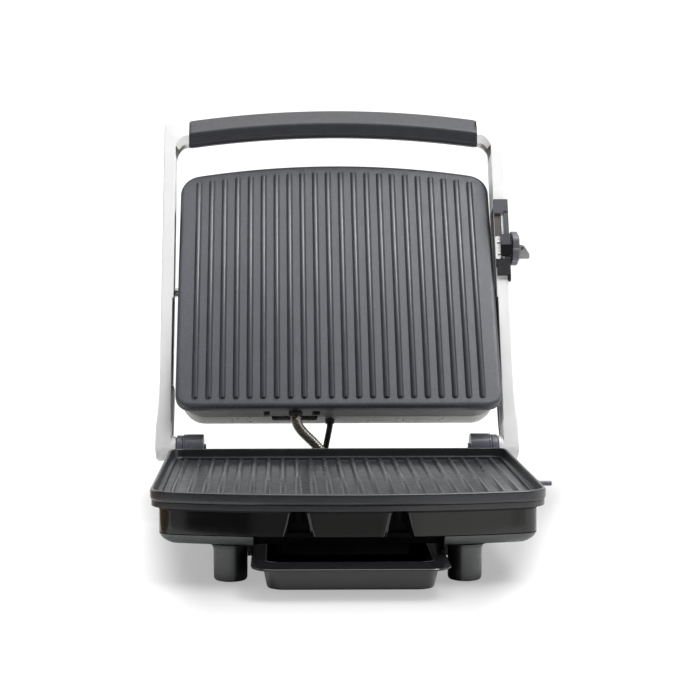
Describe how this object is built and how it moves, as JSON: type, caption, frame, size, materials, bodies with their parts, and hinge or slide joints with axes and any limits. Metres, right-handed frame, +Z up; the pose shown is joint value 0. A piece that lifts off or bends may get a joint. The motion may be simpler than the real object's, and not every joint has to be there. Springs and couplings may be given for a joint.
{
  "type": "panini press",
  "caption": "Open panini press: ribbed cast plates on a black base and a floating lid in a silver yoke, with grip, lock knob and drip tray.",
  "frame": {"origin": "on the table plane, below the middle of the lower plate, on the plane midway between the two yoke arms", "axes": "+Z up; -Y towards the user, where the drip tray comes out; +X towards the side with the lock knob"},
  "size_m": [0.3332, 0.4466, 0.3664],
  "materials": {
    "gloss_black_plastic": "gloss moulded plastic",
    "satin_grey_plastic": "satin moulded plastic",
    "foot_rubber": "matte",
    "nonstick_plate": "speckled non-stick coating on cast aluminium",
    "dark_plastic": "fine-grained satin",
    "silver_casting": "satin painted casting",
    "silver_shell": "satin silver paint",
    "grey_frame": "satin",
    "brushed_panel": "brushed",
    "bright_steel": "bright plated",
    "heater_sheath": "heat-darkened",
    "reflector_sheet": "bright rolled",
    "ceramic_body": "unglazed",
    "hose_braid": "spiral-wound metal hose",
    "lead_rubber": "matte",
    "lens_red": "translucent gloss"
  },
  "bodies": {
    "base": {"base_shell": "gloss_black_plastic", "base_bottom": "satin_grey_plastic", "foot_pads": "foot_rubber", "base_screws": "bright_steel", "lower_plate": "nonstick_plate", "lower_heater": "heater_sheath", "lower_reflector": "reflector_sheet", "lower_thermostat": "ceramic_body", "thermal_fuse": "ceramic_body", "terminal_block": "ceramic_body", "rear_cable_box": "gloss_black_plastic", "mains_inlet_gland": "gloss_black_plastic", "hinge_bracket_left": "dark_plastic", "hinge_bracket_right": "dark_plastic", "hinge_washers": "dark_plastic", "hinge_pins": "bright_steel", "latch_stud": "dark_plastic", "conduit_hose": "hose_braid", "link_lead": "lead_rubber"},
    "yoke": {"yoke_arm_left": "silver_casting", "yoke_arm_right": "silver_casting", "arm_cover_left": "grey_frame", "arm_cover_right": "grey_frame", "arm_cover_screws": "bright_steel", "handle_bar": "bright_steel", "handle_grip": "dark_plastic", "handle_end_screws": "bright_steel", "pivot_pins": "bright_steel", "lock_bracket": "dark_plastic", "lock_guide_plate": "silver_casting", "lock_guide_screws": "bright_steel"},
    "lid": {"upper_plate": "nonstick_plate", "lid_frame": "grey_frame", "lid_cover": "silver_shell", "lid_top_panel": "brushed_panel", "pivot_bushes": "ceramic_body", "upper_heater": "heater_sheath", "upper_reflector": "reflector_sheet", "upper_thermostat": "ceramic_body", "lid_grommets": "foot_rubber", "lid_screws": "bright_steel", "indicator_lenses": "lens_red"},
    "lock_slide": {"lock_slider": "dark_plastic", "lock_axle": "bright_steel"},
    "knob": {"lock_knob": "dark_plastic"},
    "tray": {"drip_tray": "gloss_black_plastic"}
  },
  "joints": [
    {"name": "arm_hinge", "type": "hinge", "parent": "base", "child": "yoke", "pos_m": [0, 0.145, 0.0665], "axis": [1, 0, 0], "range_deg": [0, 105.4], "deforming": ["conduit_hose", "link_lead"]},
    {"name": "lid_tilt", "type": "hinge", "parent": "yoke", "child": "lid", "pos_m": [0, 0.20881, 0.19993], "axis": [1, 0, 0], "range_deg": [0, 16.2]},
    {"name": "lock_travel", "type": "slide", "parent": "yoke", "child": "lock_slide", "axis": [0, 0.3665, 0.9304], "range_m": [0, 0.02]},
    {"name": "knob_turn", "type": "hinge", "parent": "lock_slide", "child": "knob", "pos_m": [0.16, 0.21288, 0.23881], "axis": [1, 0, 0], "range_deg": [0, 90]},
    {"name": "tray_pull", "type": "slide", "parent": "base", "child": "tray", "axis": [0, -1, 0], "range_m": [0, 0.11]}
  ],
  "couplings": [
    {"joint": "lid_tilt", "follows": "arm_hinge", "ratio": 0.1537}
  ]
}
